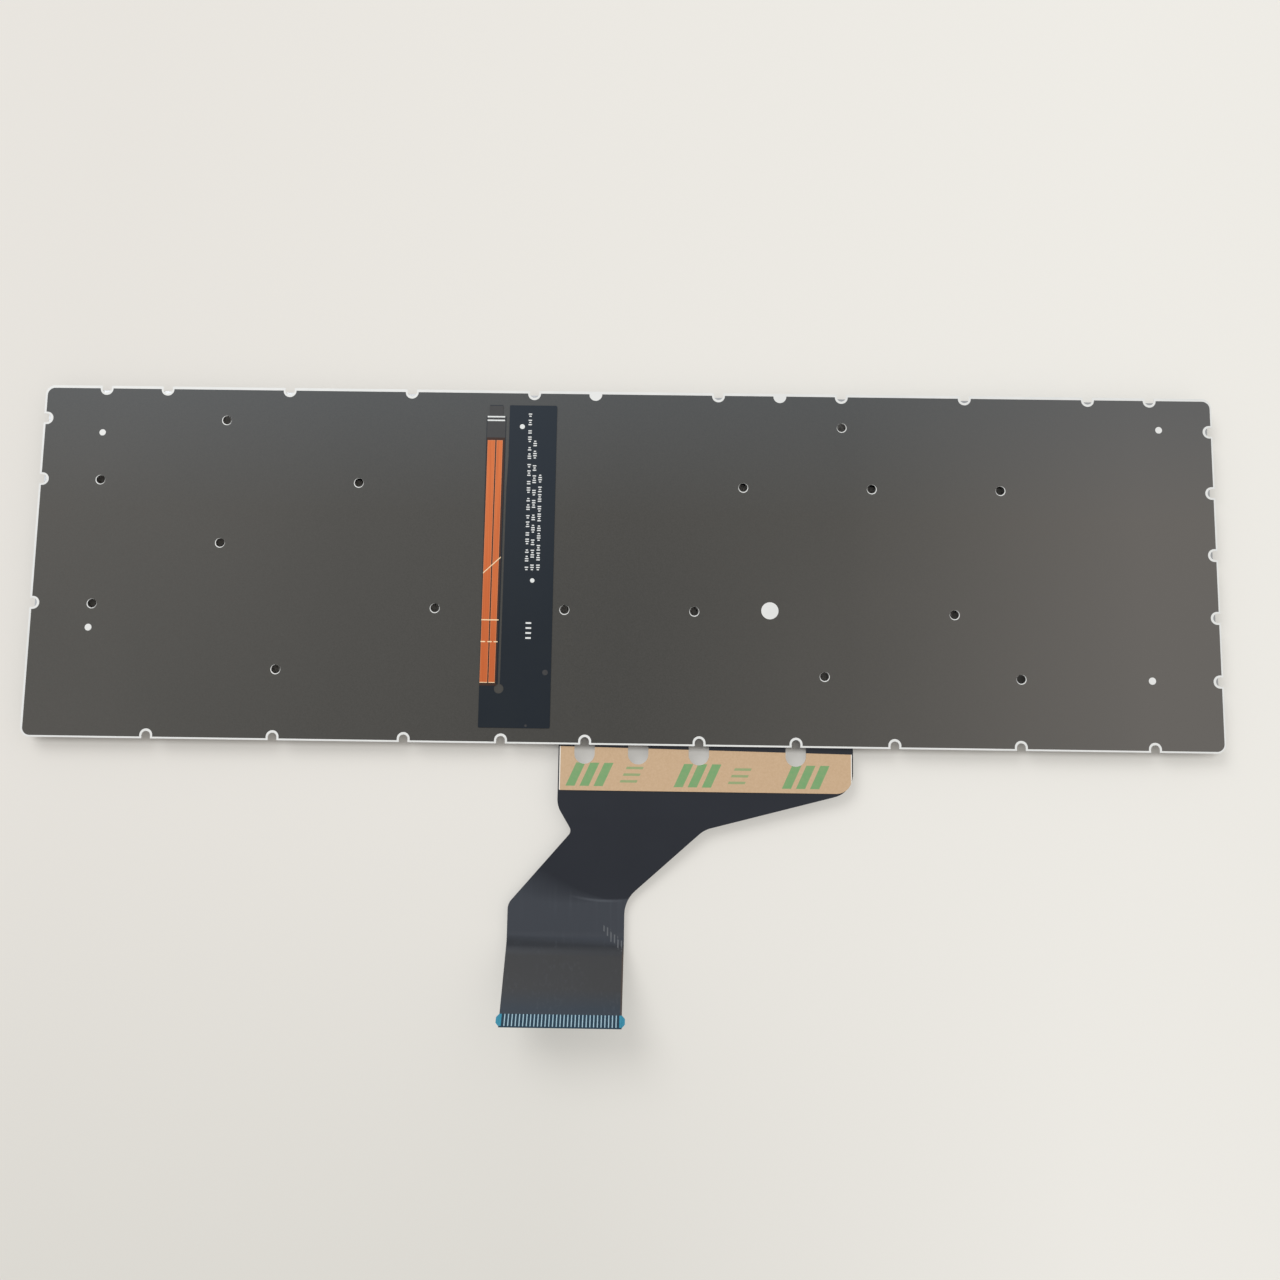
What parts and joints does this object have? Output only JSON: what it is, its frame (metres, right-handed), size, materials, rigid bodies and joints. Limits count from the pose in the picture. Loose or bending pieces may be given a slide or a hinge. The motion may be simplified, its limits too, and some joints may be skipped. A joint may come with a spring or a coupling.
{
  "type": "laptop keyboard",
  "caption": "Thin laptop keyboard lying on its keys: backlit sheet stack on a steel plate, scissor keys, switch membrane and a ribbon tail with a stiffened contact end.",
  "frame": {"origin": "middle of the sheet, on the plane of the key tops", "axes": "+X to the Esc edge, +Y to the function row, +Z out of the printed back"},
  "size_m": [0.344, 0.1804, 0.018],
  "materials": {
    "plate_steel": "satin",
    "guide_clear": "clear gloss",
    "film_print": "satin print",
    "flex_navy": "satin",
    "led_resin": "gloss",
    "membrane_film": "gloss film",
    "stiffener_blue": "gloss film",
    "liner_paper": "coated paper",
    "dome_rubber": "translucent",
    "scissor_plastic": "moulded",
    "key_plastic": "fine matte"
  },
  "bodies": {
    "base": {"base_plate": "plate_steel", "light_guide": "guide_clear", "reflector_film": "film_print", "backlight_flex": "flex_navy", "backlight_leds": "led_resin", "membrane": "membrane_film", "tail_stiffener": "stiffener_blue", "release_liner": "liner_paper", "rubber_domes": "dome_rubber", "scissor_frames": "scissor_plastic", "function_row_keys": "key_plastic", "digit_row_keys": "key_plastic", "number_pad_keys": "key_plastic", "arrow_keys": "key_plastic"},
    "key_tab": {"key_tab": "key_plastic"},
    "key_q": {"key_q": "key_plastic"},
    "key_w": {"key_w": "key_plastic"},
    "key_e": {"key_e": "key_plastic"},
    "key_r": {"key_r": "key_plastic"},
    "key_t": {"key_t": "key_plastic"},
    "key_y": {"key_y": "key_plastic"},
    "key_u": {"key_u": "key_plastic"},
    "key_i": {"key_i": "key_plastic"},
    "key_o": {"key_o": "key_plastic"},
    "key_p": {"key_p": "key_plastic"},
    "key_left_bracket": {"key_left_bracket": "key_plastic"},
    "key_right_bracket": {"key_right_bracket": "key_plastic"},
    "key_backslash": {"key_backslash": "key_plastic"},
    "key_caps": {"key_caps": "key_plastic"},
    "key_a": {"key_a": "key_plastic"},
    "key_s": {"key_s": "key_plastic"},
    "key_d": {"key_d": "key_plastic"},
    "key_f": {"key_f": "key_plastic"},
    "key_g": {"key_g": "key_plastic"},
    "key_h": {"key_h": "key_plastic"},
    "key_j": {"key_j": "key_plastic"},
    "key_k": {"key_k": "key_plastic"},
    "key_l": {"key_l": "key_plastic"},
    "key_semicolon": {"key_semicolon": "key_plastic"},
    "key_quote": {"key_quote": "key_plastic"},
    "key_enter": {"key_enter": "key_plastic"},
    "key_left_shift": {"key_left_shift": "key_plastic"},
    "key_z": {"key_z": "key_plastic"},
    "key_x": {"key_x": "key_plastic"},
    "key_c": {"key_c": "key_plastic"},
    "key_v": {"key_v": "key_plastic"},
    "key_b": {"key_b": "key_plastic"},
    "key_n": {"key_n": "key_plastic"},
    "key_m": {"key_m": "key_plastic"},
    "key_comma": {"key_comma": "key_plastic"},
    "key_period": {"key_period": "key_plastic"},
    "key_slash": {"key_slash": "key_plastic"},
    "key_right_shift": {"key_right_shift": "key_plastic"},
    "key_left_ctrl": {"key_left_ctrl": "key_plastic"},
    "key_fn": {"key_fn": "key_plastic"},
    "key_system": {"key_system": "key_plastic"},
    "key_left_alt": {"key_left_alt": "key_plastic"},
    "key_space": {"key_space": "key_plastic"},
    "key_right_alt": {"key_right_alt": "key_plastic"},
    "key_right_ctrl": {"key_right_ctrl": "key_plastic"}
  },
  "joints": [
    {"name": "press_tab", "type": "slide", "parent": "base", "child": "key_tab", "axis": [0, 0, 1], "range_m": [0, 0.0015], "stiffness_N_per_m": 300, "springref_m": -0.001, "deforming": ["rubber_domes", "scissor_frames"]},
    {"name": "press_q", "type": "slide", "parent": "base", "child": "key_q", "axis": [0, 0, 1], "range_m": [0, 0.0015], "stiffness_N_per_m": 300, "springref_m": -0.001, "deforming": ["rubber_domes", "scissor_frames"]},
    {"name": "press_w", "type": "slide", "parent": "base", "child": "key_w", "axis": [0, 0, 1], "range_m": [0, 0.0015], "stiffness_N_per_m": 300, "springref_m": -0.001, "deforming": ["rubber_domes", "scissor_frames"]},
    {"name": "press_e", "type": "slide", "parent": "base", "child": "key_e", "axis": [0, 0, 1], "range_m": [0, 0.0015], "stiffness_N_per_m": 300, "springref_m": -0.001, "deforming": ["rubber_domes", "scissor_frames"]},
    {"name": "press_r", "type": "slide", "parent": "base", "child": "key_r", "axis": [0, 0, 1], "range_m": [0, 0.0015], "stiffness_N_per_m": 300, "springref_m": -0.001, "deforming": ["rubber_domes", "scissor_frames"]},
    {"name": "press_t", "type": "slide", "parent": "base", "child": "key_t", "axis": [0, 0, 1], "range_m": [0, 0.0015], "stiffness_N_per_m": 300, "springref_m": -0.001, "deforming": ["rubber_domes", "scissor_frames"]},
    {"name": "press_y", "type": "slide", "parent": "base", "child": "key_y", "axis": [0, 0, 1], "range_m": [0, 0.0015], "stiffness_N_per_m": 300, "springref_m": -0.001, "deforming": ["rubber_domes", "scissor_frames"]},
    {"name": "press_u", "type": "slide", "parent": "base", "child": "key_u", "axis": [0, 0, 1], "range_m": [0, 0.0015], "stiffness_N_per_m": 300, "springref_m": -0.001, "deforming": ["rubber_domes", "scissor_frames"]},
    {"name": "press_i", "type": "slide", "parent": "base", "child": "key_i", "axis": [0, 0, 1], "range_m": [0, 0.0015], "stiffness_N_per_m": 300, "springref_m": -0.001, "deforming": ["rubber_domes", "scissor_frames"]},
    {"name": "press_o", "type": "slide", "parent": "base", "child": "key_o", "axis": [0, 0, 1], "range_m": [0, 0.0015], "stiffness_N_per_m": 300, "springref_m": -0.001, "deforming": ["rubber_domes", "scissor_frames"]},
    {"name": "press_p", "type": "slide", "parent": "base", "child": "key_p", "axis": [0, 0, 1], "range_m": [0, 0.0015], "stiffness_N_per_m": 300, "springref_m": -0.001, "deforming": ["rubber_domes", "scissor_frames"]},
    {"name": "press_left_bracket", "type": "slide", "parent": "base", "child": "key_left_bracket", "axis": [0, 0, 1], "range_m": [0, 0.0015], "stiffness_N_per_m": 300, "springref_m": -0.001, "deforming": ["rubber_domes", "scissor_frames"]},
    {"name": "press_right_bracket", "type": "slide", "parent": "base", "child": "key_right_bracket", "axis": [0, 0, 1], "range_m": [0, 0.0015], "stiffness_N_per_m": 300, "springref_m": -0.001, "deforming": ["rubber_domes", "scissor_frames"]},
    {"name": "press_backslash", "type": "slide", "parent": "base", "child": "key_backslash", "axis": [0, 0, 1], "range_m": [0, 0.0015], "stiffness_N_per_m": 300, "springref_m": -0.001, "deforming": ["rubber_domes", "scissor_frames"]},
    {"name": "press_caps", "type": "slide", "parent": "base", "child": "key_caps", "axis": [0, 0, 1], "range_m": [0, 0.0015], "stiffness_N_per_m": 300, "springref_m": -0.001, "deforming": ["rubber_domes", "scissor_frames"]},
    {"name": "press_a", "type": "slide", "parent": "base", "child": "key_a", "axis": [0, 0, 1], "range_m": [0, 0.0015], "stiffness_N_per_m": 300, "springref_m": -0.001, "deforming": ["rubber_domes", "scissor_frames"]},
    {"name": "press_s", "type": "slide", "parent": "base", "child": "key_s", "axis": [0, 0, 1], "range_m": [0, 0.0015], "stiffness_N_per_m": 300, "springref_m": -0.001, "deforming": ["rubber_domes", "scissor_frames"]},
    {"name": "press_d", "type": "slide", "parent": "base", "child": "key_d", "axis": [0, 0, 1], "range_m": [0, 0.0015], "stiffness_N_per_m": 300, "springref_m": -0.001, "deforming": ["rubber_domes", "scissor_frames"]},
    {"name": "press_f", "type": "slide", "parent": "base", "child": "key_f", "axis": [0, 0, 1], "range_m": [0, 0.0015], "stiffness_N_per_m": 300, "springref_m": -0.001, "deforming": ["rubber_domes", "scissor_frames"]},
    {"name": "press_g", "type": "slide", "parent": "base", "child": "key_g", "axis": [0, 0, 1], "range_m": [0, 0.0015], "stiffness_N_per_m": 300, "springref_m": -0.001, "deforming": ["rubber_domes", "scissor_frames"]},
    {"name": "press_h", "type": "slide", "parent": "base", "child": "key_h", "axis": [0, 0, 1], "range_m": [0, 0.0015], "stiffness_N_per_m": 300, "springref_m": -0.001, "deforming": ["rubber_domes", "scissor_frames"]},
    {"name": "press_j", "type": "slide", "parent": "base", "child": "key_j", "axis": [0, 0, 1], "range_m": [0, 0.0015], "stiffness_N_per_m": 300, "springref_m": -0.001, "deforming": ["rubber_domes", "scissor_frames"]},
    {"name": "press_k", "type": "slide", "parent": "base", "child": "key_k", "axis": [0, 0, 1], "range_m": [0, 0.0015], "stiffness_N_per_m": 300, "springref_m": -0.001, "deforming": ["rubber_domes", "scissor_frames"]},
    {"name": "press_l", "type": "slide", "parent": "base", "child": "key_l", "axis": [0, 0, 1], "range_m": [0, 0.0015], "stiffness_N_per_m": 300, "springref_m": -0.001, "deforming": ["rubber_domes", "scissor_frames"]},
    {"name": "press_semicolon", "type": "slide", "parent": "base", "child": "key_semicolon", "axis": [0, 0, 1], "range_m": [0, 0.0015], "stiffness_N_per_m": 300, "springref_m": -0.001, "deforming": ["rubber_domes", "scissor_frames"]},
    {"name": "press_quote", "type": "slide", "parent": "base", "child": "key_quote", "axis": [0, 0, 1], "range_m": [0, 0.0015], "stiffness_N_per_m": 300, "springref_m": -0.001, "deforming": ["rubber_domes", "scissor_frames"]},
    {"name": "press_enter", "type": "slide", "parent": "base", "child": "key_enter", "axis": [0, 0, 1], "range_m": [0, 0.0015], "stiffness_N_per_m": 300, "springref_m": -0.001, "deforming": ["rubber_domes", "scissor_frames"]},
    {"name": "press_left_shift", "type": "slide", "parent": "base", "child": "key_left_shift", "axis": [0, 0, 1], "range_m": [0, 0.0015], "stiffness_N_per_m": 300, "springref_m": -0.001, "deforming": ["rubber_domes", "scissor_frames"]},
    {"name": "press_z", "type": "slide", "parent": "base", "child": "key_z", "axis": [0, 0, 1], "range_m": [0, 0.0015], "stiffness_N_per_m": 300, "springref_m": -0.001, "deforming": ["rubber_domes", "scissor_frames"]},
    {"name": "press_x", "type": "slide", "parent": "base", "child": "key_x", "axis": [0, 0, 1], "range_m": [0, 0.0015], "stiffness_N_per_m": 300, "springref_m": -0.001, "deforming": ["rubber_domes", "scissor_frames"]},
    {"name": "press_c", "type": "slide", "parent": "base", "child": "key_c", "axis": [0, 0, 1], "range_m": [0, 0.0015], "stiffness_N_per_m": 300, "springref_m": -0.001, "deforming": ["rubber_domes", "scissor_frames"]},
    {"name": "press_v", "type": "slide", "parent": "base", "child": "key_v", "axis": [0, 0, 1], "range_m": [0, 0.0015], "stiffness_N_per_m": 300, "springref_m": -0.001, "deforming": ["rubber_domes", "scissor_frames"]},
    {"name": "press_b", "type": "slide", "parent": "base", "child": "key_b", "axis": [0, 0, 1], "range_m": [0, 0.0015], "stiffness_N_per_m": 300, "springref_m": -0.001, "deforming": ["rubber_domes", "scissor_frames"]},
    {"name": "press_n", "type": "slide", "parent": "base", "child": "key_n", "axis": [0, 0, 1], "range_m": [0, 0.0015], "stiffness_N_per_m": 300, "springref_m": -0.001, "deforming": ["rubber_domes", "scissor_frames"]},
    {"name": "press_m", "type": "slide", "parent": "base", "child": "key_m", "axis": [0, 0, 1], "range_m": [0, 0.0015], "stiffness_N_per_m": 300, "springref_m": -0.001, "deforming": ["rubber_domes", "scissor_frames"]},
    {"name": "press_comma", "type": "slide", "parent": "base", "child": "key_comma", "axis": [0, 0, 1], "range_m": [0, 0.0015], "stiffness_N_per_m": 300, "springref_m": -0.001, "deforming": ["rubber_domes", "scissor_frames"]},
    {"name": "press_period", "type": "slide", "parent": "base", "child": "key_period", "axis": [0, 0, 1], "range_m": [0, 0.0015], "stiffness_N_per_m": 300, "springref_m": -0.001, "deforming": ["rubber_domes", "scissor_frames"]},
    {"name": "press_slash", "type": "slide", "parent": "base", "child": "key_slash", "axis": [0, 0, 1], "range_m": [0, 0.0015], "stiffness_N_per_m": 300, "springref_m": -0.001, "deforming": ["rubber_domes", "scissor_frames"]},
    {"name": "press_right_shift", "type": "slide", "parent": "base", "child": "key_right_shift", "axis": [0, 0, 1], "range_m": [0, 0.0015], "stiffness_N_per_m": 300, "springref_m": -0.001, "deforming": ["rubber_domes", "scissor_frames"]},
    {"name": "press_left_ctrl", "type": "slide", "parent": "base", "child": "key_left_ctrl", "axis": [0, 0, 1], "range_m": [0, 0.0015], "stiffness_N_per_m": 300, "springref_m": -0.001, "deforming": ["rubber_domes", "scissor_frames"]},
    {"name": "press_fn", "type": "slide", "parent": "base", "child": "key_fn", "axis": [0, 0, 1], "range_m": [0, 0.0015], "stiffness_N_per_m": 300, "springref_m": -0.001, "deforming": ["rubber_domes", "scissor_frames"]},
    {"name": "press_system", "type": "slide", "parent": "base", "child": "key_system", "axis": [0, 0, 1], "range_m": [0, 0.0015], "stiffness_N_per_m": 300, "springref_m": -0.001, "deforming": ["rubber_domes", "scissor_frames"]},
    {"name": "press_left_alt", "type": "slide", "parent": "base", "child": "key_left_alt", "axis": [0, 0, 1], "range_m": [0, 0.0015], "stiffness_N_per_m": 300, "springref_m": -0.001, "deforming": ["rubber_domes", "scissor_frames"]},
    {"name": "press_space", "type": "slide", "parent": "base", "child": "key_space", "axis": [0, 0, 1], "range_m": [0, 0.0015], "stiffness_N_per_m": 300, "springref_m": -0.001, "deforming": ["rubber_domes", "scissor_frames"]},
    {"name": "press_right_alt", "type": "slide", "parent": "base", "child": "key_right_alt", "axis": [0, 0, 1], "range_m": [0, 0.0015], "stiffness_N_per_m": 300, "springref_m": -0.001, "deforming": ["rubber_domes", "scissor_frames"]},
    {"name": "press_right_ctrl", "type": "slide", "parent": "base", "child": "key_right_ctrl", "axis": [0, 0, 1], "range_m": [0, 0.0015], "stiffness_N_per_m": 300, "springref_m": -0.001, "deforming": ["rubber_domes", "scissor_frames"]}
  ]
}
